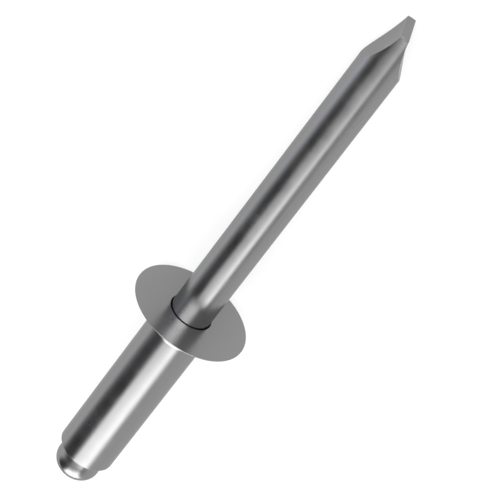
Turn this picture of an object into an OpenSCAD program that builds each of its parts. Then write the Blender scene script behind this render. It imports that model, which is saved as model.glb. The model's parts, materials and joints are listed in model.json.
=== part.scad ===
// Blind rivet, unset, as it comes to rest on a flat surface.
// Each piece is drawn on its own axis: Z runs along the rivet, the flange's flat
// face is at Z = 0, the pull stem points to +Z and the blind end to -Z.
// at_rest() then lays both pieces down on the flange's rim and the stem's tip.

/* [Rivet body] */
// Diameter of the shank
shank_d = 4.0; // [3.6:0.05:4.6]
// Length of the body, from the flange's face to the blind end
body_len = 14.1; // [8:0.1:30]
// Radius of the outer corner at the blind end
end_round = 0.05; // [0.03:0.01:0.15]
// Radial clearance between the bore and the stem
stem_clearance = 0.04; // [0.03:0.01:0.12]

/* [Flange] */
// Diameter of the flange
flange_d = 8.25; // [7:0.05:10]
// Thickness of the flange at its rim
rim_t = 0.08; // [0.06:0.01:0.3]
// Height of the countersunk head, from the flange's face to the shank
csk_h = 1.72; // [1.2:0.02:2.4]

/* [Mandrel stem] */
// Diameter of the stem
stem_d = 2.88; // [2.4:0.02:3.1]
// Length of the stem beyond the flange's face
stem_out = 25.34; // [18:0.1:40]

/* [Cropped tip] */
// Length of the two hollow facets along the stem
crop_len = 3.14; // [2:0.05:5]
// Radius of each hollow facet
crop_r = 9.4; // [6:0.2:30]
// Thickness of the strip left between the facets at the end
tip_t = 0.54; // [0.3:0.02:1.2]

/* [Mandrel head] */
// How far the head's seat reaches out past the bore
seat_step = 0.04; // [0.03:0.01:0.06]
// How far the head's widest part reaches out past the bore
head_step = 0.12; // [0.1:0.01:0.2]
// Length of the head beyond the blind end
head_len = 2.36; // [2:0.02:3.2]
// Angle from the axis at which the head widens below its seat
head_taper = 7.4; // [6:0.2:9]
// Radius of the round from the taper to the widest part
under_r = 3.1; // [2:0.1:4]
// Radius of the head's shoulder, between its widest part and its crown
shoulder_r = 1.09; // [0.5:0.01:1.2]
// Radius of the head's crown
crown_r = 3.0; // [2.2:0.1:6]

/* [Break neck] */
// Diameter of the stem at its break neck
neck_d = 1.9; // [1.4:0.05:2.2]
// Width of the flat bottom of the break neck
neck_w = 0.3; // [0.1:0.05:0.6]
// Distance from the head's seat to the middle of the break neck
neck_up = 1.6; // [1.2:0.05:2.6]
// Angle of each flank of the break neck from the stem's axis
neck_flank = 50; // [35:1:70]

/* [Hidden] */
$fn = 96;
// How far a cutting tool reaches past the surface that it leaves
past = 1;
shank_r = shank_d / 2;
flange_r = flange_d / 2;
stem_r = stem_d / 2;
bore_r = stem_r + stem_clearance;
seat_r = bore_r + seat_step;
head_r = bore_r + head_step;
neck_r = neck_d / 2;

// Centre of the hollow facet's arc, as [distance from the axis, height]. The arc
// runs from the stem's surface to the edge of the strip at the end.
crop_out = stem_r - tip_t / 2;
crop_chord = norm([crop_out, crop_len]);
crop_off = sqrt(crop_r * crop_r - crop_chord * crop_chord / 4) / crop_chord;
crop_c = [
    (stem_r + tip_t / 2) / 2 + crop_off * crop_len,
    stem_out - crop_len / 2 + crop_off * crop_out
];

// The crown's arc is centred on the axis, and the shoulder's arc touches it
// from inside.
head_end = -body_len - head_len;
crown_z = head_end + crown_r;
shoulder_x = head_r - shoulder_r;
shoulder_z = crown_z - sqrt(pow(crown_r - shoulder_r, 2) - shoulder_x * shoulder_x);
touch_x = shoulder_x * crown_r / (crown_r - shoulder_r);
touch_z = crown_z - (crown_z - shoulder_z) * crown_r / (crown_r - shoulder_r);

// The round above the widest part ends where its slope is the taper's, and the
// taper ends at the straight land under the seat.
taper_x = head_r - under_r * (1 - cos(head_taper));
taper_z = shoulder_z + under_r * sin(head_taper);
land_z = taper_z + (taper_x - seat_r) / tan(head_taper);

// At rest the flange's rim and the stem's tip touch the surface, with the strip
// at the tip standing on edge.
rest_tilt = atan((flange_r - stem_r) / stem_out);
rest_up = flange_r * cos(rest_tilt);
x_tip = stem_out * cos(rest_tilt) + stem_r * sin(rest_tilt);
x_head = crown_z * cos(rest_tilt) - crown_r;

// Lays a piece down, with the origin on the surface under the middle of the rivet
module at_rest() {
    translate([-(x_tip + x_head) / 2, 0, rest_up])
        rotate([0, 90 + rest_tilt, 0])
            children();
}

// Section of the hollow body: a flat flange, a countersunk head and a plain shank
module body_section() {
    difference() {
        polygon([
            [bore_r, 0],
            [flange_r, 0],
            [flange_r, -rim_t],
            [shank_r, -csk_h],
            [shank_r, -body_len],
            [bore_r, -body_len]
        ]);
        difference() {
            translate([shank_r - end_round, -body_len - past])
                square([end_round + past, end_round + past]);
            translate([shank_r - end_round, -body_len + end_round])
                circle(end_round);
            translate([shank_r - end_round - past, -body_len + end_round])
                square([end_round + past, past]);
        }
    }
}

module rivet_body() {
    color([0.54, 0.54, 0.54])
        at_rest()
            rotate_extrude()
                body_section();
}

// Section of the head: a straight land under the seat, a taper that rounds into the
// widest part, a round shoulder and a shallow crown
module head_section() {
    translate([0, shoulder_z])
        square([seat_r, -body_len - shoulder_z]);
    intersection() {
        polygon([
            [0, taper_z],
            [taper_x, taper_z],
            [seat_r, land_z],
            [0, land_z]
        ]);
        translate([0, shoulder_z])
            square([head_r, -body_len - shoulder_z]);
    }
    intersection() {
        translate([head_r - under_r, shoulder_z])
            circle(under_r);
        translate([0, shoulder_z])
            square([head_r + past, taper_z - shoulder_z]);
    }
    intersection() {
        translate([shoulder_x, shoulder_z])
            circle(shoulder_r);
        translate([0, shoulder_z - shoulder_r - past])
            square([head_r + past, shoulder_r + past]);
    }
    intersection() {
        translate([0, crown_z])
            circle(crown_r);
        polygon([
            [0, shoulder_z],
            [shoulder_x, shoulder_z],
            [touch_x, touch_z],
            [touch_x, head_end - past],
            [0, head_end - past]
        ]);
    }
}

// Section of the groove where the stem breaks when the rivet is set
module neck_section() {
    run = (stem_r + past - neck_r) / tan(neck_flank);
    translate([0, neck_up - body_len])
        polygon([
            [neck_r, -neck_w / 2],
            [stem_r + past, -neck_w / 2 - run],
            [stem_r + past, neck_w / 2 + run],
            [neck_r, neck_w / 2]
        ]);
}

// Section of the whole mandrel before its tip is cropped
module mandrel_section() {
    head_section();
    difference() {
        translate([0, -body_len - past / 2])
            square([stem_r, body_len + past / 2 + stem_out]);
        neck_section();
    }
}

// The two round dies that crop the stem, one from each side
module crop_dies() {
    for (side = [-1, 1])
        translate([0, side * crop_c[0], crop_c[1]])
            rotate([0, 90, 0])
                cylinder(r = crop_r, h = stem_d + 2 * past, center = true, $fn = 240);
}

module mandrel() {
    color([0.54, 0.54, 0.54])
        at_rest()
            difference() {
                rotate_extrude()
                    mandrel_section();
                crop_dies();
            }
}

rivet_body();
mandrel();
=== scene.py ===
"""Looks of an unset blind rivet that lies on its flange's rim and its stem's tip.

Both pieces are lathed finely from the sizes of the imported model, and the stem's
tip is cropped by two hollow facets. Sizes are millimetres in the rivet's own
frame, whose Z runs along the rivet from the flange's face towards the tip.
"""

import json
import math

import bmesh
import bpy
from mathutils import Matrix, Vector


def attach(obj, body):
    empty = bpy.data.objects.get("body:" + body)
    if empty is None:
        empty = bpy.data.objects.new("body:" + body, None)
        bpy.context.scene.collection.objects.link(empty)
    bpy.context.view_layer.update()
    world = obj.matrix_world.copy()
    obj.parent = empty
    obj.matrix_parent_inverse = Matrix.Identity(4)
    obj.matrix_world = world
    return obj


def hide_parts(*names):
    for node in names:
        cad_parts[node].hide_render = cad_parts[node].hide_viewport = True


MM = 0.001
WHITE = (1, 1, 1)

# How near to a size a vertex of the CAD mesh lies when it belongs to that size
NEAR = 0.02

# Radius of the small rounds on most machined edges, of the finer ones at the head's
# seat, and of the finest corners at the very end of the tip
EDGE_ROUND = 0.02
SEAT_ROUND = EDGE_ROUND / 2
LEAST_ROUND = EDGE_ROUND / 10
# Share of the flange's thin rim that stands straight before the cone begins, and the
# radius of its nearly sharp edges
RIM_STRAIGHT = 0.42
RIM_ROUND = 0.008
# Radius of the edges at the two ends of the bore, and how much its radius grows from
# its nominal size at the blind end to its mouth in the flange
MOUTH_ROUND = 0.008
BORE_EASE = 0.045
# Radius of the edges round the strip at the tip's end
TIP_ROUND = 0.001
# Radius of the outer corner at the body's blind end
BLIND_END_ROUND = 0.05
# Radius of the fillet that runs from the cone under the head into the shank, and how
# much nearer to the flange their slopes meet for it
HEAD_FILLET = 0.42
HEAD_RISE = 0.23
# Straight steps in each small round
ROUND_STEPS = 4
# Width of the narrow faces that keep the shading of a wall true up to its round, and
# the least that it shrinks to on a short wall, as a share of the round's reach
HOLD = 0.015
LEAST_HOLD = 0.1

# Faces round the body and round the mandrel
BODY_SEGMENTS = 256
HALF_SEGMENTS = 112

# The mandrel's domed head: radii of its crown, of its shoulder between the crown and
# the widest part and of the round above it, the taper from there to the seat, and the
# straight steps in each of its arcs
CROWN_R = 3.0
SHOULDER_R = 1.09
UNDER_R = 3.1
HEAD_TAPER = math.radians(7.4)
DOME_STEPS = 20
# The break neck inside the bore: its diameter, the width of its flat bottom, its
# distance from the head's seat and the slope of its flanks
NECK_D = 1.9
NECK_W = 0.3
NECK_UP = 1.6
NECK_FLANK = math.radians(50)

# Radius of the two hollow facets, and the rows of faces along and across them
CROP_R = 9.4
CROP_ROWS = 56
FACET_COLUMNS = 14

# The camera: where it stands in the row's frame, where it points, how it rolls, its
# lens and sensor, and the nearest and farthest that it sees
CAMERA_AT = (87.421, 17.606, 109.999)
CAMERA_HEADING = math.radians(-168.003)
CAMERA_DIP = math.radians(50.649)
CAMERA_ROLL = math.radians(-156.544)
CAMERA_LENS = 157.51
CAMERA_SENSOR = 36
CAMERA_NEAREST = 1
CAMERA_FARTHEST = 30000

# The floor: its size, how pale it is under the lights and how much it glows where
# it is seen directly or mirrored, so that it shows white
FLOOR_SIZE = 3000
FLOOR_PALE = 0.15
FLOOR_GLOW = 0.75

# The studio is white all round but for a softbox behind the rivet, a dark screen
# beyond it, a second softbox on the camera's side, a dim corner and a low window.
# Each panel has the direction to its middle, its half sizes and the width of its
# soft edge, as tangents of angles, and its light.
SOFTBOX = {
    "azimuth": math.radians(188.9),
    "elevation": math.radians(36.5),
    "half_width": 0.45,
    "half_height": 0.45,
    "edge": 0.26,
}
SOFTBOX_LIGHT = (4.5, 4.5, 4.5)
FRONT_SOFTBOX = {
    "azimuth": math.radians(20),
    "elevation": math.radians(58),
    "half_width": 0.44,
    "half_height": 0.52,
    "edge": 0.4,
}
FRONT_LIGHT = (7.6, 7.6, 7.6)
SCREEN = {
    "azimuth": math.radians(163.5),
    "elevation": math.radians(37),
    "half_width": 0.92,
    "half_height": 0.7,
    "edge": 0.55,
}
SCREEN_LIGHT = (0.05, 0.05, 0.052)
# A dim corner high on the other side
CORNER = {
    "azimuth": math.radians(252),
    "elevation": math.radians(50),
    "half_width": 0.35,
    "half_height": 0.3,
    "edge": 0.5,
}
CORNER_LIGHT = (0.4, 0.4, 0.4)
# A low, slightly cool window on one side
WINDOW = {
    "azimuth": math.radians(82),
    "elevation": math.radians(6),
    "half_width": 0.62,
    "half_height": 0.22,
    "edge": 0.3,
}
WINDOW_LIGHT = (1.75, 1.86, 2.25)
# The panels with their light, in the order in which they cover the white
PANELS = (
    (SCREEN, SCREEN_LIGHT),
    (WINDOW, WINDOW_LIGHT),
    (CORNER, CORNER_LIGHT),
    (SOFTBOX, SOFTBOX_LIGHT),
    (FRONT_SOFTBOX, FRONT_LIGHT),
)
# Cosine of the angle from its middle beyond which a panel ends in any case
PANEL_END = 0.05

# Bright steel: its colour, its edge tint and its roughness, and how much the roughness
# and the colour vary
STEEL_COLOR = (0.262, 0.262, 0.264)
STEEL_EDGE = 0.67
STEEL_ROUGHNESS = 0.25
ROUGHNESS_SPREAD = 0.03
COLOR_SPREAD = 0.05
# Fine marks of drawing and turning: marks per millimetre, their detail, how many times
# longer than wide the drawn ones are, and their height
MARKS = 9
MARK_DETAIL = 3
MARK_LENGTH = 60
MARK_HEIGHT = 0.0003
# Broad patches of gloss: patches per millimetre, their detail, and the range of the
# noise that takes the roughness from its least to its most
PATCHES = 0.6
PATCH_DETAIL = 2
PATCH_RANGE = (0.3, 0.7)


def rivet_placement(record):
    """Matrix from the rivet's own frame, in metres, to the row's frame."""
    mounts = {mount["name"]: mount for mount in record["mounts"]}
    face = mounts["flange_face"]
    along = Vector(face["axis"]).normalized()
    level = Vector((0, -1, 0))
    origin = Vector(face["pos_m"])
    origin.y = 0
    turn = Matrix((level.cross(along), level, along)).transposed()
    return Matrix.Translation(origin) @ turn.to_4x4()


def own_points(node, placement):
    """Vertices of a CAD node in the rivet's own frame, in millimetres."""
    back = placement.inverted()
    return [(back @ vertex.co) / MM for vertex in node.data.vertices]


def radius_of(point):
    """Distance of a point from the rivet's axis."""
    return math.hypot(point.x, point.y)


def body_sizes(node, placement, record):
    """Sizes of the hollow body, measured on its CAD node."""
    points = own_points(node, placement)
    shank = next(mount for mount in record["mounts"] if mount["name"] == "shank")
    shank_r = shank["dims"]["r_mm"]
    flange_r = max(radius_of(p) for p in points)
    return {
        "shank_r": shank_r,
        "bore_r": min(radius_of(p) for p in points),
        "flange_r": flange_r,
        "length": -min(p.z for p in points),
        "rim_t": -min(p.z for p in points if radius_of(p) > flange_r - NEAR),
        "head_h": -max(p.z for p in points if abs(radius_of(p) - shank_r) < NEAR),
    }


def mandrel_sizes(node, seat, placement):
    """Sizes of the mandrel, measured on its CAD node."""
    points = own_points(node, placement)
    outside = [p for p in points if p.z > 0]
    tip = max(p.z for p in points)
    return {
        "stem_r": max(radius_of(p) for p in outside),
        "tip": tip,
        "crop_start": min(p.z for p in outside),
        "tip_t": 2 * max(abs(p.y) for p in points if p.z > tip - NEAR),
        "seat_r": max(radius_of(p) for p in points if abs(p.z - seat) < NEAR),
        "head_r": max(radius_of(p) for p in points if p.z < 0),
        "head_end": min(p.z for p in points),
    }


def rounded(corners, closed):
    """Outline through (distance from the axis, height, radius) corners.

    Each round has a narrow step before and after it. An open outline keeps its
    two ends as they are.
    """
    outline = []
    last = len(corners) - 1
    for i, (x, z, radius) in enumerate(corners):
        if not closed and i in (0, last):
            outline.append((x, z))
            continue
        here = Vector((x, z))
        before = Vector(corners[i - 1][:2]) - here
        after = Vector(corners[(i + 1) % len(corners)][:2]) - here
        half = before.angle(after) / 2
        reach = radius / math.tan(half)
        holds = [
            min(HOLD, max(LEAST_HOLD * reach, side.length / 2 - reach))
            for side in (before, after)
        ]
        before.normalize()
        after.normalize()
        centre = here + (before + after).normalized() * (radius / math.sin(half))
        spoke = here + before * reach - centre
        start = math.atan2(spoke.y, spoke.x)
        swing = math.copysign(math.pi - 2 * half, -before.cross(after))
        outline.append(tuple(here + before * (reach + holds[0])))
        outline += arc(centre, radius, start, start + swing, ROUND_STEPS)
        outline.append(tuple(here + after * (reach + holds[1])))
    return outline


def arc(centre, radius, start, end, steps):
    """Points along an arc, with its angles in radians from straight out."""
    points = []
    for step in range(steps + 1):
        angle = start + (end - start) * step / steps
        points.append((
            centre[0] + radius * math.cos(angle),
            centre[1] + radius * math.sin(angle),
        ))
    return points


def ring(mesh, radius, z, segments):
    """Vertices round the axis at one height."""
    verts = []
    for i in range(segments):
        angle = 2 * math.pi * i / segments
        place = (radius * math.cos(angle), radius * math.sin(angle), z)
        verts.append(mesh.verts.new(place))
    return verts


def bridge(mesh, lower, upper, closed=True):
    """Faces between two rows with as many vertices each."""
    count = len(lower)
    for i in range(count if closed else count - 1):
        j = (i + 1) % count
        corners = []
        for vert in (lower[i], lower[j], upper[j], upper[i]):
            if vert not in corners:
                corners.append(vert)
        if len(corners) > 2:
            mesh.faces.new(corners)


def make_piece(name, mesh, placement):
    """A smooth object from a mesh in millimetres of the rivet's own frame."""
    bmesh.ops.recalc_face_normals(mesh, faces=mesh.faces)
    mesh.transform(placement @ Matrix.Scale(MM, 4))
    for face in mesh.faces:
        face.smooth = True
    data = bpy.data.meshes.new(name)
    mesh.to_mesh(data)
    mesh.free()
    piece = bpy.data.objects.new(name, data)
    bpy.context.scene.collection.objects.link(piece)
    return piece


def make_body(sizes, placement):
    """The hollow body: flat flange, countersunk head, plain shank and bore."""
    outline = rounded([
        (sizes["bore_r"] + BORE_EASE, 0, MOUTH_ROUND),
        (sizes["flange_r"], 0, RIM_ROUND),
        (sizes["flange_r"], -RIM_STRAIGHT * sizes["rim_t"], RIM_ROUND),
        (sizes["shank_r"], HEAD_RISE - sizes["head_h"], HEAD_FILLET),
        (sizes["shank_r"], -sizes["length"], BLIND_END_ROUND),
        (sizes["bore_r"], -sizes["length"], MOUTH_ROUND),
    ], closed=True)
    mesh = bmesh.new()
    rings = [ring(mesh, radius, z, BODY_SEGMENTS) for radius, z in outline]
    for lower, upper in zip(rings, rings[1:] + rings[:1]):
        bridge(mesh, lower, upper)
    return make_piece("hollow_body", mesh, placement)


def dome_outline(sizes):
    """Outline of the domed head, from its crown's middle to its straight land."""
    crown_z = sizes["head_end"] + CROWN_R
    shoulder_x = sizes["head_r"] - SHOULDER_R
    drop = math.sqrt((CROWN_R - SHOULDER_R) ** 2 - shoulder_x ** 2)
    touch = -math.atan2(drop, shoulder_x)
    shoulder = (shoulder_x, crown_z - drop)
    outline = arc((0, crown_z), CROWN_R, -math.pi / 2, touch, DOME_STEPS)
    outline += arc(shoulder, SHOULDER_R, touch, 0, DOME_STEPS)[1:-1]
    under = (sizes["head_r"] - UNDER_R, shoulder[1])
    outline += arc(under, UNDER_R, 0, HEAD_TAPER, DOME_STEPS)
    taper_x, taper_z = outline[-1]
    land_z = taper_z + (taper_x - sizes["seat_r"]) / math.tan(HEAD_TAPER)
    return outline + [(sizes["seat_r"], land_z)]


def mandrel_outline(sizes, seat):
    """Outline of the whole mandrel, from the crown's middle to where the crop starts."""
    neck_r = NECK_D / 2
    middle = seat + NECK_UP
    run = (sizes["stem_r"] - neck_r) / math.tan(NECK_FLANK)
    dome = dome_outline(sizes)
    return dome[:-1] + rounded([
        (*dome[-1], 0),
        (sizes["seat_r"], seat, SEAT_ROUND),
        (sizes["stem_r"], seat, SEAT_ROUND),
        (sizes["stem_r"], middle - NECK_W / 2 - run, EDGE_ROUND),
        (neck_r, middle - NECK_W / 2, EDGE_ROUND),
        (neck_r, middle + NECK_W / 2, EDGE_ROUND),
        (sizes["stem_r"], middle + NECK_W / 2 + run, EDGE_ROUND),
        (sizes["stem_r"], sizes["crop_start"] - HOLD, 0),
    ], closed=False) + [(sizes["stem_r"], sizes["crop_start"])]


def crop_section(radius, half, corner):
    """Outline of the cropped stem across its axis, as (round side, hollow side).

    The round side faces +X and runs from one corner to the other. The hollow
    side faces +Y, and its ends are rounded by the corner's radius.
    """
    reach = math.sqrt(max(0.0, (radius - corner) ** 2 - (half - corner) ** 2))
    edge = math.atan2(half - corner, reach)
    round_side = arc((0, 0), radius, -edge, edge, HALF_SEGMENTS)
    near = arc((reach, half - corner), corner, edge, math.pi / 2, ROUND_STEPS)[1:]
    far = [(-x, y) for x, y in reversed(near)]
    hold = min(HOLD, reach / FACET_COLUMNS)
    flat = [(reach - hold, half)]
    for column in range(1, FACET_COLUMNS):
        flat.append((reach - 2 * reach * column / FACET_COLUMNS, half))
    flat.append((hold - reach, half))
    return round_side, near + flat + far


def crop_rows(sizes):
    """Sections up the cropped tip, as (height, stem radius, half thickness, corner)."""
    half_tip = sizes["tip_t"] / 2
    length = sizes["tip"] - sizes["crop_start"]
    depth = sizes["stem_r"] - half_tip
    chord = math.hypot(depth, length)
    off = math.sqrt(CROP_R ** 2 - chord ** 2 / 4) / chord
    centre_y = (sizes["stem_r"] + half_tip) / 2 + off * length
    centre_z = sizes["tip"] - length / 2 + off * depth

    def half_at(z):
        """Half of what the two facets leave at a height."""
        return centre_y - math.sqrt(CROP_R ** 2 - (z - centre_z) ** 2)

    last = sizes["tip"] - TIP_ROUND
    steepest = math.asin(half_at(last) / sizes["stem_r"])
    rows = []
    for row in range(1, CROP_ROWS + 1):
        angle = math.pi / 2 + (steepest - math.pi / 2) * row / CROP_ROWS
        half = sizes["stem_r"] * math.sin(angle)
        z = centre_z - math.sqrt(CROP_R ** 2 - (centre_y - half) ** 2)
        rows.append((z, sizes["stem_r"], half, EDGE_ROUND))
    for step in range(1, ROUND_STEPS + 1):
        angle = math.pi / 2 * step / ROUND_STEPS
        z = last + TIP_ROUND * math.sin(angle)
        inset = TIP_ROUND * (1 - math.cos(angle))
        corner = max(EDGE_ROUND - inset, LEAST_ROUND)
        rows.append((z, sizes["stem_r"] - inset, half_at(z) - inset, corner))
    inset = TIP_ROUND + HOLD
    rows.append((sizes["tip"], sizes["stem_r"] - inset, half_tip - inset, LEAST_ROUND))
    return rows


def add_crop(mesh, sizes, top):
    """Closes the stem above its top ring with two hollow facets and an end strip."""
    quarter = HALF_SEGMENTS // 2
    sides = [
        top[-quarter:] + top[:quarter + 1],
        top[quarter:len(top) - quarter + 1],
    ]
    hollows = [[sides[0][-1]], [sides[1][-1]]]
    for z, radius, half, corner in crop_rows(sizes):
        round_side, hollow_side = crop_section(radius, half, corner)
        next_sides = []
        next_hollows = []
        for sign in (1, -1):
            next_sides.append([
                mesh.verts.new((sign * x, sign * y, z)) for x, y in round_side])
        for sign in (1, -1):
            next_hollows.append([
                mesh.verts.new((sign * x, sign * y, z)) for x, y in hollow_side])
        for i in (0, 1):
            other = 1 - i
            bridge(mesh, sides[i], next_sides[i], closed=False)
            above = [next_sides[i][-1]] + next_hollows[i] + [next_sides[other][0]]
            if len(hollows[i]) == 1:
                for left, right in zip(above, above[1:]):
                    mesh.faces.new((hollows[i][0], left, right))
            else:
                below = [sides[i][-1]] + hollows[i] + [sides[other][0]]
                bridge(mesh, below, above, closed=False)
        sides = next_sides
        hollows = next_hollows
    mesh.faces.new(sides[0] + hollows[0] + sides[1] + hollows[1])


def make_mandrel(sizes, seat, placement):
    """The pull mandrel: domed head, break neck, stem and cropped tip."""
    segments = 2 * HALF_SEGMENTS
    mesh = bmesh.new()
    outline = mandrel_outline(sizes, seat)
    middle = mesh.verts.new((0, 0, outline[0][1]))
    rings = [ring(mesh, radius, z, segments) for radius, z in outline[1:]]
    for i, vert in enumerate(rings[0]):
        mesh.faces.new((middle, vert, rings[0][(i + 1) % segments]))
    for lower, upper in zip(rings, rings[1:]):
        bridge(mesh, lower, upper)
    add_crop(mesh, sizes, rings[-1])
    return make_piece("pull_mandrel", mesh, placement)


def math_node(tree, operation, *values):
    """Result of a math node on sockets and plain numbers."""
    node = tree.nodes.new("ShaderNodeMath")
    node.operation = operation
    for socket, value in zip(node.inputs, values):
        if isinstance(value, bpy.types.NodeSocket):
            tree.links.new(value, socket)
        else:
            socket.default_value = value
    return node.outputs["Value"]


def dot_node(tree, vector, axis):
    """Length of a vector socket along a fixed axis."""
    node = tree.nodes.new("ShaderNodeVectorMath")
    node.operation = "DOT_PRODUCT"
    tree.links.new(vector, node.inputs[0])
    node.inputs[1].default_value = axis
    return node.outputs["Value"]


def range_node(tree, value, source, target, smooth=False):
    """A value mapped from one range to another."""
    node = tree.nodes.new("ShaderNodeMapRange")
    if smooth:
        node.interpolation_type = "SMOOTHSTEP"
    tree.links.new(value, node.inputs["Value"])
    names = ("From Min", "From Max", "To Min", "To Max")
    for name, number in zip(names, source + target):
        node.inputs[name].default_value = number
    return node.outputs["Result"]


def mix_node(tree, factor, first, second):
    """Two colours mixed, the first one a socket or a fixed colour."""
    node = tree.nodes.new("ShaderNodeMix")
    node.data_type = "RGBA"
    tree.links.new(factor, node.inputs["Factor"])
    if isinstance(first, bpy.types.NodeSocket):
        tree.links.new(first, node.inputs["A"])
    else:
        node.inputs["A"].default_value = (*first, 1)
    node.inputs["B"].default_value = (*second, 1)
    return node.outputs["Result"]


def own_millimetres(tree, placement):
    """The surface's place in the rivet's own frame, in millimetres."""
    coordinates = tree.nodes.new("ShaderNodeTexCoord")
    mapping = tree.nodes.new("ShaderNodeMapping")
    mapping.vector_type = "TEXTURE"
    mapping.inputs["Location"].default_value = placement.to_translation()
    mapping.inputs["Rotation"].default_value = placement.to_euler()
    mapping.inputs["Scale"].default_value = (MM, MM, MM)
    tree.links.new(coordinates.outputs["Object"], mapping.inputs["Vector"])
    return mapping.outputs["Vector"]


def drawn_marks(tree, place):
    """Marks that run along the rivet, as wire drawing leaves them."""
    stretch = tree.nodes.new("ShaderNodeMapping")
    stretch.inputs["Scale"].default_value = (1, 1, 1 / MARK_LENGTH)
    tree.links.new(place, stretch.inputs["Vector"])
    return stretch.outputs["Vector"]


def turned_marks(tree, place):
    """Marks that run round the rivet, as turning leaves them."""
    split = tree.nodes.new("ShaderNodeSeparateXYZ")
    tree.links.new(place, split.inputs["Vector"])
    across = math_node(
        tree, "SQRT", math_node(
            tree, "ADD",
            math_node(tree, "MULTIPLY", split.outputs["X"], split.outputs["X"]),
            math_node(tree, "MULTIPLY", split.outputs["Y"], split.outputs["Y"])))
    join = tree.nodes.new("ShaderNodeCombineXYZ")
    tree.links.new(across, join.inputs["X"])
    tree.links.new(split.outputs["Z"], join.inputs["Y"])
    return join.outputs["Vector"]


def noise_node(tree, vector, scale, detail):
    """Smooth noise from 0 to 1 over a vector socket."""
    node = tree.nodes.new("ShaderNodeTexNoise")
    node.inputs["Scale"].default_value = scale
    node.inputs["Detail"].default_value = detail
    tree.links.new(vector, node.inputs["Vector"])
    return node.outputs["Fac"]


def steel(name, placement, marks):
    """Bright steel with fine marks, on which the gloss and the grey vary a little."""
    material = bpy.data.materials.new(name)
    material.use_nodes = True
    tree = material.node_tree
    shader = tree.nodes["Principled BSDF"]
    shader.inputs["Metallic"].default_value = 1
    shader.inputs["Specular Tint"].default_value = (STEEL_EDGE, STEEL_EDGE, STEEL_EDGE, 1)

    place = own_millimetres(tree, placement)
    lines = noise_node(tree, marks(tree, place), MARKS, MARK_DETAIL)
    patches = noise_node(tree, place, PATCHES, PATCH_DETAIL)
    darker = tuple(channel * (1 - COLOR_SPREAD) for channel in STEEL_COLOR)
    lighter = tuple(channel * (1 + COLOR_SPREAD) for channel in STEEL_COLOR)
    color = mix_node(tree, lines, darker, lighter)
    tree.links.new(color, shader.inputs["Base Color"])
    roughness = range_node(
        tree, patches, PATCH_RANGE,
        (STEEL_ROUGHNESS - ROUGHNESS_SPREAD, STEEL_ROUGHNESS + ROUGHNESS_SPREAD))
    tree.links.new(roughness, shader.inputs["Roughness"])
    bump = tree.nodes.new("ShaderNodeBump")
    bump.inputs["Distance"].default_value = MARK_HEIGHT * MM
    tree.links.new(lines, bump.inputs["Height"])
    tree.links.new(bump.outputs["Normal"], shader.inputs["Normal"])
    return material


def direct_sight(tree):
    """1 for rays that see the background directly, mirrored or through glass."""
    path = tree.nodes.new("ShaderNodeLightPath")
    seen = math_node(
        tree, "MAXIMUM", path.outputs["Is Camera Ray"], path.outputs["Is Glossy Ray"])
    return math_node(tree, "MAXIMUM", seen, path.outputs["Is Transmission Ray"])


def floor_material():
    """Pale and dull, with a glow where it is seen directly or mirrored."""
    material = bpy.data.materials.new("floor")
    material.use_nodes = True
    tree = material.node_tree
    shader = tree.nodes["Principled BSDF"]
    shader.inputs["Base Color"].default_value = (FLOOR_PALE, FLOOR_PALE, FLOOR_PALE, 1)
    shader.inputs["Roughness"].default_value = 1
    shader.inputs["Specular IOR Level"].default_value = 0
    shader.inputs["Emission Color"].default_value = (*WHITE, 1)
    glow = math_node(tree, "MULTIPLY", direct_sight(tree), FLOOR_GLOW)
    tree.links.new(glow, shader.inputs["Emission Strength"])
    return material


def make_floor():
    """Plain pale floor, which shows white and keeps the rivet's soft shadow."""
    mesh = bmesh.new()
    bmesh.ops.create_grid(mesh, x_segments=1, y_segments=1, size=FLOOR_SIZE * MM / 2)
    data = bpy.data.meshes.new("floor")
    mesh.to_mesh(data)
    mesh.free()
    floor = bpy.data.objects.new("floor", data)
    bpy.context.scene.collection.objects.link(floor)
    data.materials.append(floor_material())


def panel_mask(tree, direction, azimuth, elevation, half_width, half_height, edge):
    """How far a direction lies inside a flat rectangular panel, from 0 to 1."""
    middle = Vector((
        math.cos(elevation) * math.cos(azimuth),
        math.cos(elevation) * math.sin(azimuth),
        math.sin(elevation),
    ))
    right = middle.cross(Vector((0, 0, 1))).normalized()
    depth = dot_node(tree, direction, middle)
    mask = math_node(tree, "GREATER_THAN", depth, PANEL_END)
    for axis, half in ((right, half_width), (right.cross(middle), half_height)):
        across = math_node(tree, "DIVIDE", dot_node(tree, direction, axis), depth)
        inside = range_node(
            tree, math_node(tree, "ABSOLUTE", across),
            (half + edge / 2, half - edge / 2), (0, 1), smooth=True)
        mask = math_node(tree, "MULTIPLY", mask, inside)
    return mask


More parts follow.
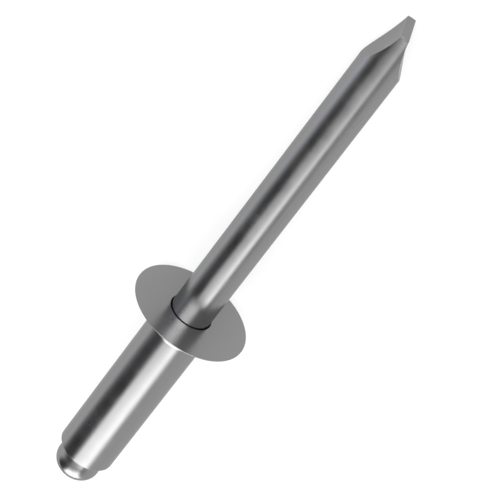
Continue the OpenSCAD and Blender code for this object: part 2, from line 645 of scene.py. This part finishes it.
def make_studio():
    """White surroundings with two softboxes, two dark places and a cool window."""
    world = bpy.data.worlds.new("studio")
    bpy.context.scene.world = world
    world.use_nodes = True
    tree = world.node_tree
    direction = tree.nodes.new("ShaderNodeTexCoord").outputs["Generated"]
    light = WHITE
    for panel, panel_light in PANELS:
        mask = panel_mask(tree, direction, **panel)
        light = mix_node(tree, mask, light, panel_light)
    path = tree.nodes.new("ShaderNodeLightPath")
    color = mix_node(tree, path.outputs["Is Camera Ray"], light, WHITE)
    background = tree.nodes["Background"]
    tree.links.new(color, background.inputs["Color"])


def place_camera():
    """The camera that sees the rivet as the photograph does."""
    data = bpy.data.cameras.new("camera")
    data.lens = CAMERA_LENS
    data.sensor_width = CAMERA_SENSOR
    data.clip_start = CAMERA_NEAREST * MM
    data.clip_end = CAMERA_FARTHEST * MM
    camera = bpy.data.objects.new("camera", data)
    bpy.context.scene.collection.objects.link(camera)
    bpy.context.scene.camera = camera
    forward = Vector((
        math.cos(CAMERA_HEADING) * math.cos(CAMERA_DIP),
        math.sin(CAMERA_HEADING) * math.cos(CAMERA_DIP),
        -math.sin(CAMERA_DIP),
    ))
    level = forward.cross(Vector((0, 0, 1))).normalized()
    right = Matrix.Rotation(-CAMERA_ROLL, 3, forward) @ level
    up = right.cross(forward)
    turn = Matrix((right, up, -forward)).transposed()
    camera.matrix_world = Matrix.Translation(Vector(CAMERA_AT) * MM) @ turn.to_4x4()


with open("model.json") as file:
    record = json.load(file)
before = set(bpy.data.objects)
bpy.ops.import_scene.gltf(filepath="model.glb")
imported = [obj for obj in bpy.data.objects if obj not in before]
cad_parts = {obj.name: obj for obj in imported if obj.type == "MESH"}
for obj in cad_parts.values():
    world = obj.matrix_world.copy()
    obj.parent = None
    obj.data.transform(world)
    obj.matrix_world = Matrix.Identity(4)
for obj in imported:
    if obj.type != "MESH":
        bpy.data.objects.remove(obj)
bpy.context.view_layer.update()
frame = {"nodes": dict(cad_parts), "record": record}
placement = rivet_placement(frame["record"])
body = body_sizes(frame["nodes"]["rivet_body"], placement, frame["record"])
wire = mandrel_sizes(frame["nodes"]["mandrel"], -body["length"], placement)

hollow_body = make_body(body, placement)
hollow_body.data.materials.append(steel("turned_steel", placement, turned_marks))
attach(hollow_body, "root")
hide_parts("rivet_body")

pull_mandrel = make_mandrel(wire, -body["length"], placement)
pull_mandrel.data.materials.append(steel("drawn_steel", placement, drawn_marks))
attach(pull_mandrel, "root")
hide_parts("mandrel")

place_camera()
make_floor()
make_studio()
bpy.context.scene.view_settings.view_transform = "Standard"
